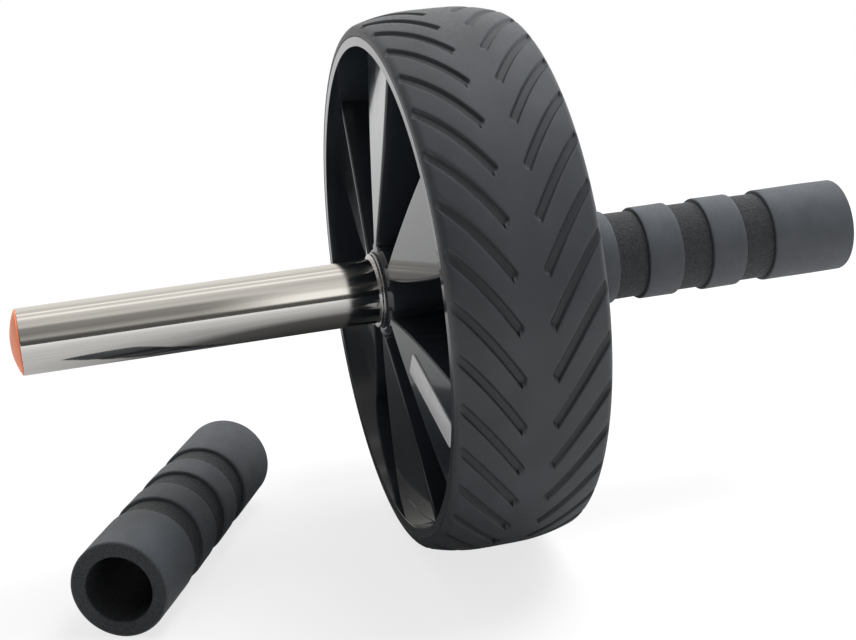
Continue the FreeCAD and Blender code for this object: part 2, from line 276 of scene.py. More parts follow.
def addGrain(material, scale, low, high, detail=4.0, stretch=evenly):
    grain = material.node_tree.nodes.new("ShaderNodeGroup")
    grain.node_tree = grainGroup
    grain.inputs["Scale"].default_value = scale
    grain.inputs["Detail"].default_value = detail
    grain.inputs["Low"].default_value = low
    grain.inputs["High"].default_value = high
    grain.inputs["Stretch"].default_value = stretch
    return grain.outputs["Value"]


def addBump(material, shader, height, strength, distance):
    bump = material.node_tree.nodes.new("ShaderNodeBump")
    bump.inputs["Strength"].default_value = strength
    bump.inputs["Distance"].default_value = distance * mm
    material.node_tree.links.new(height, bump.inputs["Height"])
    material.node_tree.links.new(bump.outputs["Normal"], shader.inputs["Normal"])


def mixColours(holder, factor, first, second):  # for a material or the world
    mix = holder.node_tree.nodes.new("ShaderNodeMix")
    mix.data_type = "RGBA"
    for socket, value in ((mix.inputs[6], first), (mix.inputs[7], second)):
        if isinstance(value, tuple):
            socket.default_value = (*value, 1.0)
        else:
            holder.node_tree.links.new(value, socket)
    holder.node_tree.links.new(factor, mix.inputs[0])
    return mix.outputs[2]


def readAttribute(material, name):
    attribute = material.node_tree.nodes.new("ShaderNodeAttribute")
    attribute.attribute_name = name
    return attribute.outputs["Fac"]


def joinValues(holder, first, second, operation):
    join = holder.node_tree.nodes.new("ShaderNodeMath")
    join.operation = operation
    holder.node_tree.links.new(first, join.inputs[0])
    holder.node_tree.links.new(second, join.inputs[1])
    return join.outputs[0]


def addRange(holder, value, fromSpan, toSpan, smooth=False):
    between = holder.node_tree.nodes.new("ShaderNodeMapRange")
    if smooth:
        between.interpolation_type = "SMOOTHSTEP"
    for label, number in zip(("From Min", "From Max", "To Min", "To Max"), (*fromSpan, *toSpan)):
        between.inputs[label].default_value = number
    holder.node_tree.links.new(value, between.inputs["Value"])
    return between.outputs[0]


def changeVector(holder, operation, vector, constant=None):
    change = holder.node_tree.nodes.new("ShaderNodeVectorMath")
    change.operation = operation
    if constant:
        change.inputs[1].default_value = constant
    holder.node_tree.links.new(vector, change.inputs[0])
    return change.outputs


def mixShaders(holder, factor, first, second):
    mix = holder.node_tree.nodes.new("ShaderNodeMixShader")
    for socket, source in zip(mix.inputs, (factor, first, second)):
        holder.node_tree.links.new(source, socket)
    return mix.outputs[0]


def makeFinish(name, patchScale, dark, light, roughScale, roughness, bump=None, constants=None):
    material, shader = startMaterial(name)
    link = material.node_tree.links.new
    patches = addGrain(material, patchScale, 0.0, 1.0)
    link(mixColours(material, patches, dark, light), shader.inputs["Base Color"])
    link(addGrain(material, roughScale, *roughness), shader.inputs["Roughness"])
    for label, value in (constants or {}).items():
        shader.inputs[label].default_value = value
    if bump:
        grain = addGrain(material, bump["scale"], 0.0, 1.0, bump["detail"])
        addBump(material, shader, grain, bump["strength"], bump["distance"])
    return material


def makeTreadRubber():
    material, shader = startMaterial("treadRubber")
    link = material.node_tree.links.new
    patches = addGrain(material, 70.0, 0.0, 1.0)
    top = mixColours(material, patches, (0.033, 0.037, 0.043), (0.043, 0.0475, 0.055))
    # painted shade: the slot floors are coloured darker than the tread top, by the depth of each point
    colour = mixColours(material, readAttribute(material, "paintedSlotShade"), top, (0.026, 0.029, 0.034))
    link(colour, shader.inputs["Base Color"])
    link(addGrain(material, 900.0, 0.38, 0.50), shader.inputs["Roughness"])
    addBump(material, shader, addGrain(material, 2600.0, 0.0, 1.0, 2.0), 0.22, 0.12)
    return material


def makePolishedSteel():
    material, shader = startMaterial("polishedSteel")
    link = material.node_tree.links.new
    lengthwise = (1.0, 0.02, 1.0)
    lines = addGrain(material, 2400.0, 0.0, 1.0, 3.0, lengthwise)
    link(mixColours(material, lines, (0.61, 0.595, 0.57), (0.67, 0.655, 0.63)), shader.inputs["Base Color"])
    shader.inputs["Metallic"].default_value = 1.0
    link(addGrain(material, 1800.0, 0.05, 0.11, 3.0, lengthwise), shader.inputs["Roughness"])
    addBump(material, shader, lines, 0.03, 0.02)
    return material


def makeGripFoam():
    material, shader = startMaterial("gripFoam")
    link = material.node_tree.links.new
    band = readAttribute(material, "openCell")
    patches = addGrain(material, 120.0, 0.0, 1.0)
    specks = addGrain(material, 900.0, 0.0, 1.0)
    skin = mixColours(material, patches, (0.055, 0.061, 0.070), (0.069, 0.076, 0.087))
    cells = mixColours(material, specks, (0.014, 0.0155, 0.018), (0.034, 0.037, 0.042))
    link(mixColours(material, band, skin, cells), shader.inputs["Base Color"])
    link(addGrain(material, 1400.0, 0.52, 0.68), shader.inputs["Roughness"])
    fine = addGrain(material, 2600.0, 0.0, 0.35, 2.0)
    pits = joinValues(material, addGrain(material, 1100.0, 0.0, 1.6, 3.0), band, "MULTIPLY")
    addBump(material, shader, joinValues(material, fine, pits, "ADD"), 0.5, 0.35)
    return material


treadRubber = makeTreadRubber()
polishedSteel = makePolishedSteel()
gripFoam = makeGripFoam()
glossBlack = makeFinish(
    "glossBlack", patchScale=40.0, dark=(0.018, 0.0215, 0.027), light=(0.023, 0.0275, 0.034),
    roughScale=160.0, roughness=(0.07, 0.13),
    bump={"scale": 90.0, "detail": 1.0, "strength": 0.05, "distance": 0.05},
    constants={"Coat Weight": 0.3, "Coat Roughness": 0.04})
plainSteel = makeFinish(
    "plainSteel", patchScale=300.0, dark=(0.52, 0.52, 0.52), light=(0.66, 0.65, 0.64),
    roughScale=1200.0, roughness=(0.18, 0.32),
    bump={"scale": 3000.0, "detail": 2.0, "strength": 0.06, "distance": 0.02},
    constants={"Metallic": 1.0})
orangePlastic = makeFinish(
    "orangePlastic", patchScale=220.0, dark=(0.95, 0.22, 0.075), light=(1.0, 0.26, 0.095),
    roughScale=700.0, roughness=(0.34, 0.46),
    bump={"scale": 2600.0, "detail": 2.0, "strength": 0.08, "distance": 0.03})
bushPlastic = makeFinish(
    "bushPlastic", patchScale=300.0, dark=(0.018, 0.018, 0.019), light=(0.028, 0.028, 0.029),
    roughScale=900.0, roughness=(0.42, 0.55))
palePlate = makeFinish(
    "palePlate", patchScale=260.0, dark=(0.64, 0.64, 0.645), light=(0.72, 0.72, 0.725),
    roughScale=1500.0, roughness=(0.28, 0.40),
    bump={"scale": 4000.0, "detail": 2.0, "strength": 0.05, "distance": 0.02})
print("finishes made")

# tyre
tyre = {
    "radius": (tyreHigh.z - tyreLow.z) / 2 / mm,
    "half": (tyreHigh.y - tyreLow.y) / 2 / mm,
    "flatHalf": 6.0, "crown": 63.0, "shoulder": 4.0,
    "thickness": 9.85, "flangeHeight": 2.6, "flangeThickness": 1.52, "sideRound": 0.2,
    "slots": 36, "slotWidth": 3.6, "slotDepth": 1.3, "slotInner": 6.3, "slotOuter": 26.2,
    "slotLead": 15.0, "slotBow": 0.18, "firstSlot": 6.3,  # degrees, share, degrees
    "fadeStart": 25.4, "fadeEnd": 27.9, "edgeOut": 0.25, "edgeIn": 0.85,
    "leastShare": -0.35, "mostShare": 1.15, "sharp": 50.0,
    "plainRows": [0.0, 1.9, 3.4], "slotEndRows": (3.9, 7.1, 14), "slotRows": (8.2, 23.4, 9), "lastRows": 24.0,
    "inside": [0.0, 0.3, 0.5, 0.62, 0.74, 0.86, 0.97, 1.07, 1.18],  # shares of the slot's half width
    "outside": [0.3, 0.65, 1.0],  # shares of the way to the next slot
}


def slotShare(along):  # held a little beyond both ends of the slot
    share = (abs(along) - tyre["slotInner"]) / (tyre["slotOuter"] - tyre["slotInner"])
    return min(tyre["mostShare"], max(tyre["leastShare"], share))


def slotTurn(along):  # degrees that the slot's centre line lags at a place across the tread
    share = slotShare(along)
    return -tyre["slotLead"] * share * (1 + tyre["slotBow"] * (1 - share))


def slotSlope(along):  # millimetres around the tyre for each one across it
    lead = tyre["slotLead"] * (1 + tyre["slotBow"] * (1 - 2 * slotShare(along)))
    return math.radians(lead / (tyre["slotOuter"] - tyre["slotInner"])) * tyre["radius"]


def slotDepthAt(along, offset):  # offset in millimetres around the tyre from the centre line
    slope = slotSlope(along)
    length = math.hypot(1, slope)
    beyond = 0.0
    if abs(along) < tyre["slotInner"]:
        beyond = max(0.0, (tyre["slotInner"] - abs(along)) * length + slope * offset / length)
    if abs(along) > tyre["slotOuter"]:
        beyond = max(0.0, (abs(along) - tyre["slotOuter"]) * length - slope * offset / length)
    outside = math.hypot(beyond, offset / length) - tyre["slotWidth"] / 2
    depth = 1 - ease(-tyre["edgeIn"], tyre["edgeOut"], outside)
    return depth * (1 - ease(tyre["fadeStart"], tyre["fadeEnd"], abs(along)))


def tyreLine():  # closed (radius, along, onTread) line, from the middle of the tread round both sides
    flat = tyre["flatHalf"]
    inner = tyre["crown"] - tyre["shoulder"]
    turn = math.asin((tyre["half"] - tyre["shoulder"] - flat) / inner)
    centre = tyre["radius"] - tyre["crown"]
    across = tyre["plainRows"] + spread(*tyre["slotEndRows"]) + spread(*tyre["slotRows"])
    across += spread(tyre["lastRows"], flat + tyre["crown"] * math.sin(turn), 5)
    half = []
    for along in across:
        drop = max(0.0, along - flat)
        half.append((centre + math.sqrt(tyre["crown"] ** 2 - drop ** 2), along, True))
    shoulder = (centre + inner * math.cos(turn), tyre["half"] - tyre["shoulder"])
    for radius, along in roundPath(shoulder, tyre["shoulder"], math.degrees(turn), 90, 12)[1:]:
        half.append((radius, along, True))
    rim = tyre["radius"] - tyre["thickness"]
    flange = rim + tyre["flangeHeight"]
    corner = (flange + tyre["sideRound"], tyre["half"] - tyre["sideRound"])
    seat = tyre["half"] - tyre["flangeThickness"]
    for radius, along in roundPath(corner, tyre["sideRound"], 90, 180, 3):
        half.append((radius, along, False))
    half += [(flange, seat, False), (rim, seat, False), (rim, seat / 2, False), (rim, 0.0, False)]
    return mirrorLine(half)


def makeTyre():
    pitch = 360 / tyre["slots"]
    bm = bmesh.new()
    # each point's slot depth is kept as the mask of the painted shade in the slots
    slotShadeLayer = bm.verts.layers.float.new("paintedSlotShade")
    columns = []
    for radius, along, onTread in tyreLine():
        slope = slotSlope(along)
        halfSlot = math.degrees(tyre["slotWidth"] / 2 * math.hypot(1, slope) / tyre["radius"])
        offsets = [share * halfSlot for share in tyre["inside"]]
        reach = offsets[-1]
        offsets += [reach + (pitch / 2 - reach) * share for share in tyre["outside"]]
        offsets = [-value for value in offsets[:0:-1]] + offsets
        column = []
        for offset in offsets:
            depth = 0.0
            if onTread:
                depth = slotDepthAt(along, math.radians(offset) * tyre["radius"])
            angle = math.radians(tyre["firstSlot"] + slotTurn(along) + offset)
            vertex = bm.verts.new(toAxle(radius - depth * tyre["slotDepth"], along, angle))
            vertex[slotShadeLayer] = depth
            column.append(vertex)
        columns.append(column)
    bridge(bm, columns + columns[:1], around=False)
    bmesh.ops.recalc_face_normals(bm, faces=bm.faces)
    outermost = max(bm.faces, key=lambda face: face.calc_center_median().length)
    if outermost.normal.dot(outermost.calc_center_median()) < 0:
        bmesh.ops.reverse_faces(bm, faces=bm.faces)
    mesh = bpy.data.meshes.new("treadSector")
    bm.to_mesh(mesh)
    bm.free()
    piece = repeatRoundAxle("tyreTread", mesh, tyre["slots"], treadRubber, tyre["sharp"])
    settle(piece, "wheel", "tread_rubber", "tyre")


makeTyre()
print("tyre made")

# rim barrel and the two spoke stars
core = {
    "rimWall": 3.0, "draft": 2.7, "mouthFlare": 1.9, "mouthEase": 0.12, "fitGap": 0.15, "barrelSteps": 180,
    "wallShares": (0.0, 0.25, 0.5, 0.75, 0.98),
    "flangeHeight": 2.6, "flangeThickness": 1.5, "flangeEdge": 0.25,
    "hub": 17.2, "hubBore": 14.08, "hubHalf": 29.2, "hubChamfer": 1.6, "hubSteps": 96,
    "easeBelow": 0.3, "easeIn": 0.06, "easeSide": 0.25, "easeTop": 0.2,
    "flangeHole": 14.9, "flangeFloor": 27.9, "hubFillet": 2.4, "partingGap": 0.12,
    "spokes": 6, "rootHalf": 1.6, "tipHalf": 23.2, "bulge": 2.2, "rootHeight": 29.0, "tipHeight": 21.4,
    "edgeAcross": 1.1, "edgeDeep": 0.7, "edgeShare": 0.8, "edgeSteps": 5, "pitch": 0.077, "bowStart": 0.55,
    "rootSink": 1.5, "filletStart": 0.3, "plainStart": 4.5, "plainEnd": 3.0, "lastRow": 1.0, "pitchEase": 6.0,
    "filletRows": 5, "plainRows": 24, "faceRows": 10, "faceInner": 0.9, "faceEdge": 0.98,
    "screwCircle": 60.0, "wellRadius": 3.66, "wellFloor": 8.0, "wellSteps": 48, "sharp": 35.0,
}
barrelLow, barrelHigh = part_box("rim_barrel")
core["flange"] = (barrelHigh.z - barrelLow.z) / 2 / mm
core["rim"] = core["flange"] - core["flangeHeight"]
core["rimHalf"] = (barrelHigh.y - barrelLow.y) / 2 / mm
core["mouth"] = core["rim"] - core["rimWall"]


def spokeShare(radius):
    return (radius - core["hub"]) / (core["mouth"] - core["hub"])


def filletRise(distance, radius):  # how far a round fillet stands out at a distance from its wall
    if distance >= radius:
        return 0.0
    return radius - math.sqrt(radius ** 2 - (radius - max(0.0, distance)) ** 2)


def spokeHalfWidth(radius):
    share = spokeShare(radius)
    width = core["rootHalf"] + share * (core["tipHalf"] - core["rootHalf"])
    width += core["bulge"] * 4 * share * (1 - share)
    return width + filletRise(radius - core["hub"], core["hubFillet"])


def spokeHeight(radius):
    return core["rootHeight"] + spokeShare(radius) * (core["tipHeight"] - core["rootHeight"])


def barrelInside(height):  # the barrel narrows from both mouths to its middle
    return core["mouth"] + core["mouthFlare"] - core["draft"] * (1 - height / core["rimHalf"])


def spokeReach(across, height):  # where a spoke ends along its axis
    return math.sqrt((barrelInside(height) - core["fitGap"]) ** 2 - across ** 2)


def faceRise(across, side):  # a spoke's face is turned a little about its length, like a fan blade
    return -side * core["pitch"] * across


def spokeStations():  # distances from the axle at which a spoke has a ring of points
    hub = core["hub"]
    mouth = core["mouth"]
    stations = [hub - core["rootSink"], hub]
    stations += spread(hub + core["filletStart"], hub + core["hubFillet"], core["filletRows"])
    stations += spread(hub + core["plainStart"], mouth - core["plainEnd"], core["plainRows"])
    return stations + [mouth - core["lastRow"], mouth]


def spokeSection(radius, side):  # (across, height) line round a spoke
    held = max(core["hub"], radius)
    half = spokeHalfWidth(held)
    edge = min(core["edgeAcross"], half * core["edgeShare"])
    flat = half - edge
    top = spokeHeight(held)
    settled = min(1.0, max(0.0, (radius - core["hub"]) / core["pitchEase"]))  # no turn beside the hub
    rise = settled * faceRise(flat, side)
    rounded = []
    for turn in spread(0, math.pi / 2, core["edgeSteps"])[:-1]:
        rounded.append((edge * math.cos(turn), core["edgeDeep"] * (1 - math.sin(turn))))
    section = [(half, core["partingGap"]), (half, top / 2)]
    section += [(flat + out, top + rise - drop) for out, drop in rounded]
    shares = [1.0, core["faceEdge"]] + spread(core["faceInner"], -core["faceInner"], core["faceRows"])
    shares += [-core["faceEdge"], -1.0]  # close rows keep the face flat at its edges
    section += [(flat * share, top + rise * share) for share in shares]
    section += [(-flat - out, top - rise - drop) for out, drop in rounded[::-1]]
    return section + [(-half, top / 2), (-half, core["partingGap"])]


def makeSpokeMesh(side):  # points straight up on the +Y side, from the hub's wall to the barrel
    bm = bmesh.new()
    rings = []
    for radius in spokeStations():
        top = spokeHeight(max(core["hub"], radius))
        bow = max(0.0, (spokeShare(radius) - core["bowStart"]) / (1 - core["bowStart"])) ** 2
        ring = []
        for across, height in spokeSection(radius, side):
            along = radius - bow * (core["mouth"] - spokeReach(across, height))
            sunk = height + (spokeHeight(max(core["hub"], along)) - top) * height / top
            ring.append(bm.verts.new(Vector((across, sunk, along)) * mm))
        rings.append(ring)
    bridge(bm, rings)
    bm.faces.new(rings[0])
    bm.faces.new(rings[-1][::-1])
    return meshFrom("spoke", bm, core["sharp"])


def cutWell(mesh):  # sinks the screw's well into a spoke
    bm = bmesh.new()
    depth = core["rootHeight"] - core["wellFloor"]
    turn = Matrix.Rotation(math.radians(90), 4, "X")
    place = Matrix.Translation(Vector((0, core["wellFloor"] + depth / 2, core["screwCircle"])) * mm)
    radius = core["wellRadius"] * mm
    bmesh.ops.create_cone(
        bm, cap_ends=True, segments=core["wellSteps"], radius1=radius, radius2=radius,
        depth=depth * mm, matrix=place @ turn)
    tool = addPiece("wellTool", meshFrom("wellTool", bm))
    piece = addPiece("spokeWithWell", mesh)
    cutBy(piece, tool)
    result = bakedMesh(piece)
    bpy.data.objects.remove(piece)
    bpy.data.objects.remove(tool)
    return result


def makeBarrel():
    edge = core["flangeEdge"]
    top = core["rimHalf"]
    seat = top - core["flangeThickness"]
    eased = core["mouthEase"]
    half = [(barrelInside(top * share), top * share) for share in core["wallShares"]]
    half += [(barrelInside(top - eased), top - eased), (barrelInside(top) + eased, top)]
    half += [(barrelInside(top) + 3 * eased, top), (core["flange"] - 2 * edge, top)]
    half += roundPath((core["flange"] - edge, top - edge), edge, 90, 0, 3)
    half += [(core["flange"], seat), (core["rim"], seat), (core["rim"], 0.0)]
    bm = bmesh.new()
    latheInto(bm, mirrorLine(half), core["barrelSteps"])
    settleOnAxle("rimBarrel", bm, core["sharp"], glossBlack, "wheel", "gloss_black", "rim_barrel")


def makeHubMesh():  # hub of one star, on the +Y side
    hub = core["hub"]
    bore = core["hubBore"]
    hole = core["flangeHole"]
    floor = core["flangeFloor"]
    top = core["hubHalf"]
    inner = hub - core["hubChamfer"]
    below = top - core["hubChamfer"]
    line = [(bore, core["partingGap"]), (hub, core["partingGap"]), (hub, below - core["easeBelow"])]
    line += [(hub - core["easeIn"], below), (hub - core["easeSide"], below + core["easeSide"])]
    line += [(inner + core["easeTop"], top - core["easeTop"]), (inner, top)]
    line += [(hole, top), (hole, floor), (bore, floor)]
    bm = bmesh.new()
    latheInto(bm, line, core["hubSteps"])
    return meshFrom("starHub", bm, core["sharp"])


def joinPieces(name, pieces):
    bm = bmesh.new()
    for piece in pieces:
        bm.from_mesh(piece.data)
    mesh = bpy.data.meshes.new(name)
    bm.to_mesh(mesh)
    bm.free()
    for piece in pieces:
        bpy.data.objects.remove(piece)
    return mesh


def makeStar(name, side, node, withWells):
    spoke = makeSpokeMesh(side)
    if withWells:
        spoke = cutWell(spoke)
    spokes = repeatRoundAxle(name + "Spokes", spoke, core["spokes"], glossBlack, core["sharp"])
    mesh = joinPieces(name, (spokes, addPiece(name + "Hub", onAxle(makeHubMesh()))))
    if side < 0:
        moveMesh(mesh, Matrix.Scale(-1, 4, Vector((0, 1, 0))))
        mesh.flip_normals()
    smoothMesh(mesh, core["sharp"])
    settle(addPiece(name, mesh, glossBlack), "wheel", "gloss_black", node)


makeBarrel()
makeStar("leftStar", -1, "left_spoke_star", False)
makeStar("rightStar", 1, "right_spoke_star", True)
print("barrel and stars made")

# axle tube
tube = {
    "wall": 1.5, "edge": 0.35, "grooveStart": 30.3, "grooveEnd": 31.4, "grooveDepth": 0.6,
    "steps": 128, "sharp": 35.0,
}


def makeTube():
    bore = tubeRadius - tube["wall"]
    floor = tubeRadius - tube["grooveDepth"]
    edge = tube["edge"]
    half = [(tubeRadius, 0.0), (tubeRadius, tube["grooveStart"]), (floor, tube["grooveStart"])]
    half += [(floor, tube["grooveEnd"]), (tubeRadius, tube["grooveEnd"])]
    half += roundPath((tubeRadius - edge, tubeHalf - edge), edge, 0, 90, 4)
    half += [(bore, tubeHalf), (bore, 0.0)]
    bm = bmesh.new()
    latheInto(bm, mirrorLine(half), tube["steps"])
    settleOnAxle("steelTube", bm, tube["sharp"], polishedSteel, "axle", "polished_steel", "axle_tube")


makeTube()

# end plugs
plug = {
    "inset": 0.2, "rimRound": 0.5, "rimShares": (0.6, 0.2, 0.02), "dome": 3.4, "domeSteps": 14, "floor": 1.0,
    "stem": 16.0, "stemGap": 0.02, "stemWall": 1.6, "seatGap": 0.01, "steps": 96, "sharp": 50.0,
}


def makePlug(name, side, node):
    cap = tubeRadius - plug["inset"]
    rise = plug["dome"] - plug["rimRound"]
    sphere = (cap ** 2 + rise ** 2) / (2 * rise)
    top = tubeHalf + plug["dome"]
    low = tubeHalf - plug["stem"]
    floor = tubeHalf - plug["floor"]
    stem = tubeRadius - tube["wall"] - plug["stemGap"]
    hollow = stem - plug["stemWall"]
    line = [(0.0, top)]
    for turn in spread(0, math.asin(cap / sphere), plug["domeSteps"])[1:]:
        line.append((sphere * math.sin(turn), top - sphere + sphere * math.cos(turn)))
    line += [(cap, tubeHalf + plug["rimRound"] * share) for share in plug["rimShares"]]
    line += [(stem, tubeHalf + plug["seatGap"]), (stem, low), (hollow, low), (hollow, floor), (0.0, floor)]
    bm = bmesh.new()
    latheInto(bm, sideLine(line, side), plug["steps"], closed=False)
    settleOnAxle(name, bm, plug["sharp"], orangePlastic, "axle", "orange_plastic", node)


makePlug("leftPlug", -1, "left_end_plug")
makePlug("rightPlug", 1, "right_end_plug")

# bushes, washers and retaining rings
stack = {
    "runGap": 0.06, "edge": 0.15, "steps": 96, "bushWall": 1.5, "bushSharp": 40.0,
    "flange": 14.88, "flangeStart": 27.9, "bushFace": 29.4, "bushLength": 18.0,
    "washerStart": 29.55, "washerEnd": 30.35, "washer": 14.5, "washerSharp": 60.0,
    "ringEnd": 31.35, "ringInner": 11.92, "ring": 14.2, "ringSteps": 110, "ringSharp": 50.0,
    "gapTurn": 230.0, "gapAngle": 44.0, "lug": 1.7, "lugHole": 0.7, "lugShare": 0.8, "lugSteps": 28,
}


def roundedBand(inner, outer, low, high):  # section of a flat ring with eased edges
    edge = stack["edge"]
    near = inner + edge
    far = outer - edge
    corners = []
    for radius, along, start in ((far, low + edge, -90), (far, high - edge, 0),
                                 (near, high - edge, 90), (near, low + edge, 180)):
        corners += roundPath((radius, along), edge, start, start + 90, 3)
    return corners


def makeBush(name, side, node):
    bore = tubeRadius + stack["runGap"]
    outer = bore + stack["bushWall"]
    edge = stack["edge"]
    flange = stack["flange"]
    face = stack["bushFace"]
    start = face - stack["bushLength"]
    line = [(bore, start), (outer, start), (outer, stack["flangeStart"]), (flange, stack["flangeStart"])]
    line += roundPath((flange - edge, face - edge), edge, 0, 90, 3) + [(bore, face)]
    bm = bmesh.new()
    latheInto(bm, sideLine(line, side), stack["steps"])
    settleOnAxle(name, bm, stack["bushSharp"], bushPlastic, "wheel", "bush_plastic", node)


def makeWasher(name, side, node):
    bore = tubeRadius + stack["runGap"]
    line = roundedBand(bore, stack["washer"], stack["washerStart"], stack["washerEnd"])
    bm = bmesh.new()
    latheInto(bm, sideLine(line, side), stack["steps"])
    settleOnAxle(name, bm, stack["washerSharp"], plainSteel, "axle", "plain_steel", node)


def sweepBand(bm, section, startDeg, endDeg, steps):  # part of a ring, closed at both ends
    rings = []
    for turn in spread(math.radians(startDeg), math.radians(endDeg), steps):
        rings.append([bm.verts.new(toAxle(radius, along, turn)) for radius, along in section])
    bridge(bm, rings)
    bm.faces.new(rings[0][::-1])
    bm.faces.new(rings[-1])


def addLug(bm, turnDeg, low, high):  # short drilled post at a retaining ring's end
    centre = toAxle(stack["ring"], 0.0, math.radians(turnDeg))
    hole = stack["lugHole"]
    outer = stack["lug"]
    section = [(hole, low), (outer, low), (outer, high), (hole, high)]
    rings = []
    for step in range(stack["lugSteps"]):
        around = math.tau * step / stack["lugSteps"]
        rings.append([bm.verts.new(centre + toAxle(radius, along, around)) for radius, along in section])
    bridge(bm, rings + rings[:1])


def makeRetainingRing(name, side, node):
    low = stack["washerEnd"]
    high = stack["ringEnd"]
    section = sideLine(roundedBand(stack["ringInner"], stack["ring"], low, high), side)
    middle = stack["gapTurn"] if side < 0 else 180 - stack["gapTurn"]
    lugTurn = math.degrees(stack["lugShare"] * stack["lug"] / stack["ring"])
    start = middle + stack["gapAngle"] / 2
    end = middle + 360 - stack["gapAngle"] / 2
    bm = bmesh.new()
    sweepBand(bm, section, start, end, stack["ringSteps"])
    for turn in (start + lugTurn, end - lugTurn):
        addLug(bm, turn, side * low, side * high)
    settleOnAxle(name, bm, stack["ringSharp"], plainSteel, "axle", "plain_steel", node)


for word, side in (("left", -1), ("right", 1)):
    makeBush(word + "Bush", side, word + "_hub_bush")
    makeWasher(word + "Washer", side, word + "_thrust_washer")
    makeRetainingRing(word + "Ring", side, word + "_retaining_ring")
print("tube, plugs and hub hardware made")

# screws that join the stars
screw = {
    "shank": 1.75, "length": 18.0, "tip": 1.5, "tipShare": 0.4, "threads": 12, "rootShare": 0.82,
    "crest": 0.5, "neck": 0.8, "head": 3.6, "headHeight": 2.6, "steps": 40, "sharp": 45.0,
    "recessWidth": 0.9, "recessLength": 4.2, "recessDepth": 1.4,
}


def screwLine():  # (radius, along) line from the tip to the top of the head
    seat = core["wellFloor"]
    end = seat - screw["length"]
    top = seat + screw["headHeight"]
    crown = screw["headHeight"] / 2
    root = screw["shank"] * screw["rootShare"]
    line = [(0.0, end), (screw["shank"] * screw["tipShare"], end)]
    for turn in range(screw["threads"]):
        low = end + screw["tip"] + turn * (screw["length"] - 2 * screw["tip"]) / screw["threads"]
        line += [(root, low), (screw["shank"], low + screw["crest"])]
    line += [(root, seat - screw["neck"]), (root, seat), (screw["head"], seat)]
    return line + roundPath((screw["head"] - crown, top - crown), crown, 0, 90, 5) + [(0.0, top)]


def makeScrews():
    line = screwLine()
    top = line[-1][1]
    bm = bmesh.new()
    latheInto(bm, line, screw["steps"], closed=False)
    piece = addPiece("screwBody", meshFrom("screw", bm, screw["sharp"]))
    recess = (screw["recessLength"], screw["recessWidth"])
    tools = []
    for across, along in (recess, recess[::-1]):
        bm = bmesh.new()
        bmesh.ops.create_cube(bm, size=1.0)
        place = Matrix.Translation(Vector((0, top, 0)) * mm)
        size = Matrix.Diagonal(Vector((across, 2 * screw["recessDepth"], along, 1 / mm)) * mm)
        bmesh.ops.transform(bm, matrix=place @ size, verts=bm.verts)
        tools.append(addPiece("recessTool", meshFrom("recessTool", bm)))
        cutBy(piece, tools[-1])
    drilled = bakedMesh(piece)
    for thing in [piece] + tools:
        bpy.data.objects.remove(thing)
    moveMesh(drilled, Matrix.Translation(Vector((0, 0, core["screwCircle"])) * mm))
    screws = repeatRoundAxle("coreScrews", drilled, core["spokes"], plainSteel, screw["sharp"])
    settle(screws, "wheel", "plain_steel", "wheel_screws")


makeScrews()

# bare plate on the spoke
plate = {
    "spoke": 120.0, "centre": 60.0, "offset": 0.2, "length": 40.0, "width": 9.6, "thickness": 0.5,
    "corner": 1.2, "edge": 0.15, "edgeShare": 0.3, "sharp": 30.0,
}


def plateOutline(inset):  # (long, wide) line with round corners
    halfLong = plate["length"] / 2 - plate["corner"]
    halfWide = plate["width"] / 2 - plate["corner"]
    outline = []
    for signLong, signWide, start in ((1, 1, 0), (-1, 1, 90), (-1, -1, 180), (1, -1, 270)):
        centre = (signLong * halfLong, signWide * halfWide)
        outline += roundPath(centre, plate["corner"] - inset, start, start + 90, 6)
    return outline


def makePlate():
    lay = math.atan((core["tipHeight"] - core["rootHeight"]) / (core["mouth"] - core["hub"]))
    edge = plate["edge"]
    eased = edge * plate["edgeShare"]
    top = plate["thickness"]
    bm = bmesh.new()
    rings = []
    for inset, height in ((0.0, 0.0), (0.0, top - edge), (eased, top - eased), (edge, top)):
        ring = []
        for long, wide in plateOutline(inset):
            across = wide + plate["offset"]
            radius = plate["centre"] + long * math.cos(lay) - height * math.sin(lay)
            depth = spokeHeight(plate["centre"]) + long * math.sin(lay) + height * math.cos(lay)
            depth += faceRise(across, -1)
            ring.append(bm.verts.new(Vector((across, -depth, radius)) * mm))
        rings.append(ring)
    bridge(bm, rings)
    bm.faces.new(rings[0][::-1])
    bm.faces.new(rings[-1])
    mesh = meshFrom("spokePlate", bm, plate["sharp"])
    moveMesh(mesh, Matrix.Rotation(math.radians(plate["spoke"]), 4, "Y"))
    settle(addPiece("spokePlate", onAxle(mesh), palePlate), "wheel", "pale_plate", "spoke_plate")


makePlate()
print("screws and plate made")

# foam grips
grip = {
    "radius": 18.5, "bore": 12.56, "length": 132.0, "steps": 128, "sharp": 60.0,
    "grooves": 3, "grooveWidth": 12.4, "grooveDepth": 1.3, "pitch": 27.0, "shift": 1.8,
    "endRound": 0.8, "mouthRound": 0.5, "landRound": 0.7, "skinEdge": 0.2, "cellStart": 0.02, "cellEdge": 0.3,
    "landRows": 8, "grooveRows": 10, "boreRows": 12,
    "sag": 0.12, "waves": 2, "waveTwist": 0.11, "swell": 0.07, "swellStart": 1.3,
    "fittedStart": 32.5, "looseNear": (41.1, -143.2), "looseHeading": -25.8,
}


def marked(points, cell):  # adds the share of open cells to a line's points
    return [(radius, along, cell) for radius, along in points]


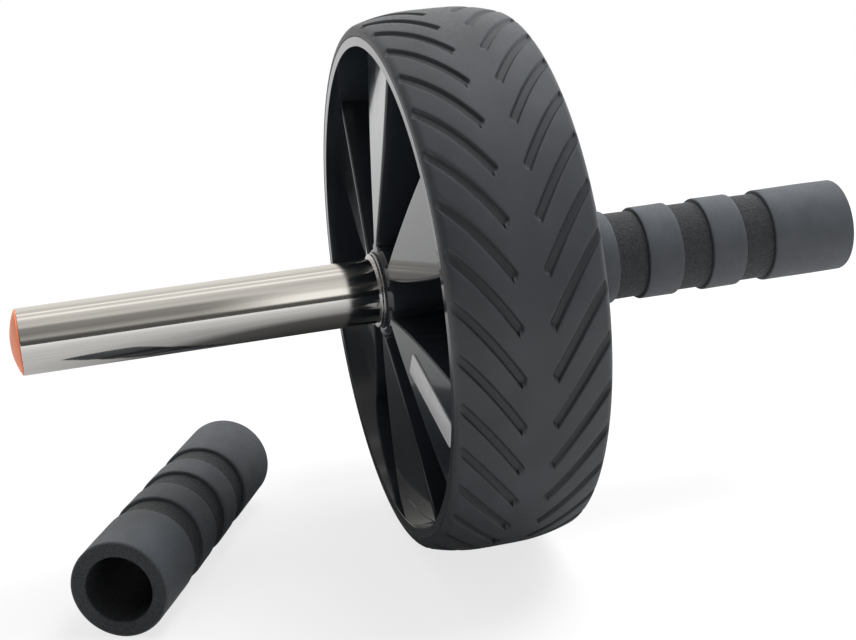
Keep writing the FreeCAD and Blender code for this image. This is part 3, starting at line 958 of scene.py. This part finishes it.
def gripLine():  # closed (radius, along, openCell) line of one grip, from its inner end at zero
    radius = grip["radius"]
    bore = grip["bore"]
    length = grip["length"]
    land = grip["landRound"]
    end = grip["endRound"]
    mouth = grip["mouthRound"]
    floor = radius - grip["grooveDepth"]
    middle = (radius + bore) / 2
    skin = radius - end - grip["skinEdge"]
    line = marked(roundPath((bore + mouth, mouth), mouth, 180, 270, 4), 1.0)
    line += [(middle, 0.0, 1.0), (skin, 0.0, 1.0)]
    line += marked(roundPath((radius - end, end), end, -60, 0, 6), 0.0)
    first = length / 2 - grip["shift"] - grip["pitch"] * (grip["grooves"] - 1) / 2
    here = end
    for number in range(grip["grooves"]):
        centre = first + number * grip["pitch"]
        low = centre - grip["grooveWidth"] / 2
        high = centre + grip["grooveWidth"] / 2
        rows = [low + grip["cellStart"]]
        rows += spread(low + grip["cellEdge"], high - grip["cellEdge"], grip["grooveRows"])
        rows += [high - grip["cellStart"]]
        line += [(radius, along, 0.0) for along in spread(here, low - land, grip["landRows"])[1:-1]]
        line += marked(roundPath((radius - land, low - land), land, 0, 90, 4), 0.0)
        line += [(floor, along, 1.0) for along in rows]
        line += marked(roundPath((radius - land, high + land), land, -90, 0, 4), 0.0)
        here = high + land
    line += [(radius, along, 0.0) for along in spread(here, length - end, grip["landRows"])[1:-1]]
    line += marked(roundPath((radius - end, length - end), end, 0, 60, 6), 0.0)
    line += [(skin, length, 1.0), (middle, length, 1.0)]
    line += marked(roundPath((bore + mouth, length - mouth), mouth, 90, 180, 4), 1.0)
    return line + [(bore, along, 1.0) for along in spread(length - mouth, mouth, grip["boreRows"])[1:-1]]


def gripWave(around, along):  # slight unevenness of the soft foam
    twist = math.sin(grip["waves"] * around + grip["waveTwist"] * along)
    return abs(grip["sag"] * twist * math.sin(grip["swell"] * along + grip["swellStart"]))


def makeGripMesh(name):
    bm = bmesh.new()
    cellLayer = bm.verts.layers.float.new("openCell")
    columns = []
    for radius, along, cell in gripLine():
        outside = radius > grip["bore"] + grip["mouthRound"]
        column = []
        for step in range(grip["steps"]):
            around = math.tau * step / grip["steps"]
            uneven = gripWave(around, along) if outside else 0.0
            vertex = bm.verts.new(toAxle(radius - uneven, along, around))
            vertex[cellLayer] = cell
            column.append(vertex)
        columns.append(column)
    bridge(bm, columns + columns[:1])
    return meshFrom(name, bm, grip["sharp"])


def makeFittedGrip():
    mesh = makeGripMesh("fittedGrip")
    moveMesh(mesh, Matrix.Translation(Vector((0, grip["fittedStart"], 0)) * mm))
    piece = addPiece("fittedGrip", onAxle(mesh), gripFoam)
    settle(piece, "fitted_grip", "foam", "right_grip")


def makeLooseGrip():
    mesh = makeGripMesh("looseGrip")
    heading = Matrix.Rotation(math.radians(grip["looseHeading"] + 90), 4, "Z")
    near = Vector((*grip["looseNear"], grip["radius"])) * mm
    moveMesh(mesh, Matrix.Translation(near) @ heading)
    piece = addPiece("looseGrip", mesh, gripFoam)
    settle(piece, "loose_grip", "foam", "left_grip")


makeFittedGrip()
makeLooseGrip()
print("grips made")

# camera, fitted to the photograph's outlines
view = {
    "place": (0.59491, -0.16145, 0.25544), "lens": 68.59, "sensor": 36.0, "nearest": 0.01,
    "right": (0.26619, 0.96056, -0.08041), "up": (-0.23203, 0.14482, 0.96187),
}


def addCamera():
    data = bpy.data.cameras.new("photoCamera")
    data.lens = view["lens"]
    data.sensor_width = view["sensor"]
    data.sensor_fit = "HORIZONTAL"
    data.clip_start = view["nearest"]
    camera = bpy.data.objects.new("photoCamera", data)
    right = Vector(view["right"]).normalized()
    up = Vector(view["up"])
    up = (up - right * up.dot(right)).normalized()
    turn = Matrix((right, up, right.cross(up))).transposed().to_4x4()
    camera.matrix_world = Matrix.Translation(Vector(view["place"])) @ turn
    bpy.context.scene.collection.objects.link(camera)
    bpy.context.scene.camera = camera


addCamera()

# floor, world and lamps
lowStrips = (
    (-95, 0.95), (-50, 1.0), (-37, 0.78), (-31, 0.85), (-26, 1.6),
    (-21, 0.9), (-12, 0.95), (-6, 1.5), (0, 0.85), (14, 0.72),
)
studio = {
    "floorSize": 8.0, "floorColour": 0.76, "floorVary": 0.02, "floorGrain": 3.0, "floorRoughness": 0.9,
    "nearGlow": 0.76, "glowStart": 0.45, "glowEnd": 1.3,
    "shadeCentre": (-0.12, -0.066, 0.0), "shadeSquash": (1.0, 2.2, 1.0),
    # painted shadow under the wheel and painted glow further off, seen only in glossy reflections: (distance,
    # brightness)
    "mirrored": (
        (0.0, 0.03), (0.10, 0.05), (0.19, 0.10), (0.235, 0.42), (0.36, 0.7), (0.65, 0.85), (1.5, 1.15),
    ),
    "surround": (
        (-180, 0.9), (-95, 0.95), (-30, 0.9), (0, 0.8), (35, 0.36), (65, 0.12), (88, 0.06), (110, 0.2),
    ),
    "rightStrips": lowStrips + (
        (30, 0.85), (46, 0.95), (56, 1.35), (72, 1.4), (78, 0.14), (90, 0.10), (110, 0.5),
    ),
    "leftStrips": lowStrips + (
        (26, 0.8), (35, 0.34), (55, 0.28), (70, 0.5), (78, 0.12), (90, 0.10), (110, 0.5),
    ),
    "stripTint": (1.0, 0.975, 0.93), "stripFade": (0.3, 0.55), "rightFade": (0.0, 0.14),
    "leftShade": 0.42, "leftFade": (-0.75, -0.1),
    "lamps": (
        ("overhead", (0.0, 0.55, 1.4), (0.0, 0.0, 0.1), 0.9, 24.0),
        ("rightBack", (-0.8, 1.1, 0.9), (0.0, 0.05, 0.1), 0.9, 19.0),
    ),
}


def stopRamp(holder, place, stops, tint=white):
    ramp = holder.node_tree.nodes.new("ShaderNodeValToRGB")
    elements = ramp.color_ramp.elements
    while len(elements) < len(stops):
        elements.new(0.5)
    for element, (position, value) in zip(elements, stops):
        element.position = position
        element.color = (value * tint[0], value * tint[1], value * tint[2], 1.0)
    holder.node_tree.links.new(place, ramp.inputs[0])
    return ramp.outputs[0]


def addFloor():
    bm = bmesh.new()
    bmesh.ops.create_grid(bm, x_segments=1, y_segments=1, size=studio["floorSize"] / 2)
    mesh = bpy.data.meshes.new("paleFloor")
    bm.to_mesh(mesh)
    bm.free()
    material, shader = startMaterial("paleFloor")
    nodes = material.node_tree.nodes
    link = material.node_tree.links.new
    grain = addGrain(material, studio["floorGrain"], 0.0, 1.0)
    dark = (studio["floorColour"],) * 3
    light = (studio["floorColour"] + studio["floorVary"],) * 3
    link(mixColours(material, grain, dark, light), shader.inputs["Base Color"])
    shader.inputs["Roughness"].default_value = studio["floorRoughness"]
    path = nodes.new("ShaderNodeLightPath")
    place = nodes.new("ShaderNodeTexCoord").outputs["Object"]
    glow = nodes.new("ShaderNodeEmission")  # white far off, shaded near the object
    glow.inputs["Color"].default_value = (*white, 1.0)
    reach = changeVector(material, "LENGTH", place)["Value"]
    glowSpan = (studio["glowStart"], studio["glowEnd"])
    away = addRange(material, reach, glowSpan, (studio["nearGlow"], 1.0))
    seen = joinValues(material, away, path.outputs["Is Camera Ray"], "MULTIPLY")
    lit = mixShaders(material, seen, shader.outputs[0], glow.outputs[0])
    squashed = changeVector(material, "MULTIPLY", place, studio["shadeSquash"])["Vector"]
    apart = changeVector(material, "DISTANCE", squashed, studio["shadeCentre"])["Value"]
    farthest = studio["mirrored"][-1][0]
    stops = [(distance / farthest, value) for distance, value in studio["mirrored"]]
    mirrored = nodes.new("ShaderNodeEmission")  # what glossy pieces see: a painted shadow, dark under the wheel, and a painted glow, white far off
    share = addRange(material, apart, (0.0, farthest), (0.0, 1.0))
    link(stopRamp(material, share, stops), mirrored.inputs["Color"])
    both = mixShaders(material, path.outputs["Is Glossy Ray"], lit, mirrored.outputs[0])
    link(both, nodes["Material Output"].inputs["Surface"])
    floor = addPiece("paleFloor", mesh, material)


def clockRamp(holder, clock, stops, tint=white):  # by angle around the axle, 0 straight up, 90 in front
    return stopRamp(holder, clock, [((degrees + 180) / 360, value) for degrees, value in stops], tint)


def addWorld():
    world = bpy.data.worlds.new("studioWorld")
    bpy.context.scene.world = world
    world.use_nodes = True
    nodes = world.node_tree.nodes
    link = world.node_tree.links.new
    coords = nodes.new("ShaderNodeTexCoord")
    split = nodes.new("ShaderNodeSeparateXYZ")
    link(coords.outputs["Generated"], split.inputs[0])
    across = split.outputs["Y"]
    around = joinValues(world, split.outputs["X"], split.outputs["Z"], "ARCTAN2")
    clock = addRange(world, around, (-math.pi, math.pi), (0.0, 1.0))
    sideways = nodes.new("ShaderNodeMath")
    sideways.operation = "ABSOLUTE"
    link(across, sideways.inputs[0])
    leftSide = addRange(world, across, studio["leftFade"], (studio["leftShade"], 1.0), smooth=True)
    middle = addRange(world, sideways.outputs[0], studio["stripFade"], (1.0, 0.0), smooth=True)
    toRight = addRange(world, across, studio["rightFade"], (0.0, 1.0), smooth=True)
    surround = clockRamp(world, clock, studio["surround"])
    leftStrips = clockRamp(world, clock, studio["leftStrips"], studio["stripTint"])
    rightStrips = clockRamp(world, clock, studio["rightStrips"], studio["stripTint"])
    strips = mixColours(world, toRight, leftStrips, rightStrips)
    shaded = mixColours(world, leftSide, (0.0, 0.0, 0.0), surround)
    path = nodes.new("ShaderNodeLightPath")
    forSteel = joinValues(world, middle, path.outputs["Is Glossy Ray"], "MULTIPLY")
    light = nodes["Background"]
    link(mixColours(world, forSteel, shaded, strips), light.inputs["Color"])
    backdrop = nodes.new("ShaderNodeBackground")
    backdrop.inputs["Color"].default_value = (*white, 1.0)
    seen = mixShaders(world, path.outputs["Is Camera Ray"], light.outputs[0], backdrop.outputs[0])
    link(seen, nodes["World Output"].inputs["Surface"])


def addLamps():
    for name, place, aim, size, power in studio["lamps"]:
        data = bpy.data.lights.new(name, "AREA")
        data.shape = "DISK"
        data.size = size
        data.energy = power
        lamp = bpy.data.objects.new(name, data)
        turn = (Vector(place) - Vector(aim)).to_track_quat("Z", "Y").to_matrix().to_4x4()
        lamp.matrix_world = Matrix.Translation(Vector(place)) @ turn
        lamp.visible_glossy = False  # the strips of the world are what the steel shows
        bpy.context.scene.collection.objects.link(lamp)


addFloor()
addWorld()
addLamps()
bpy.context.scene.view_settings.view_transform = "Standard"
print("camera, floor and lamps placed")
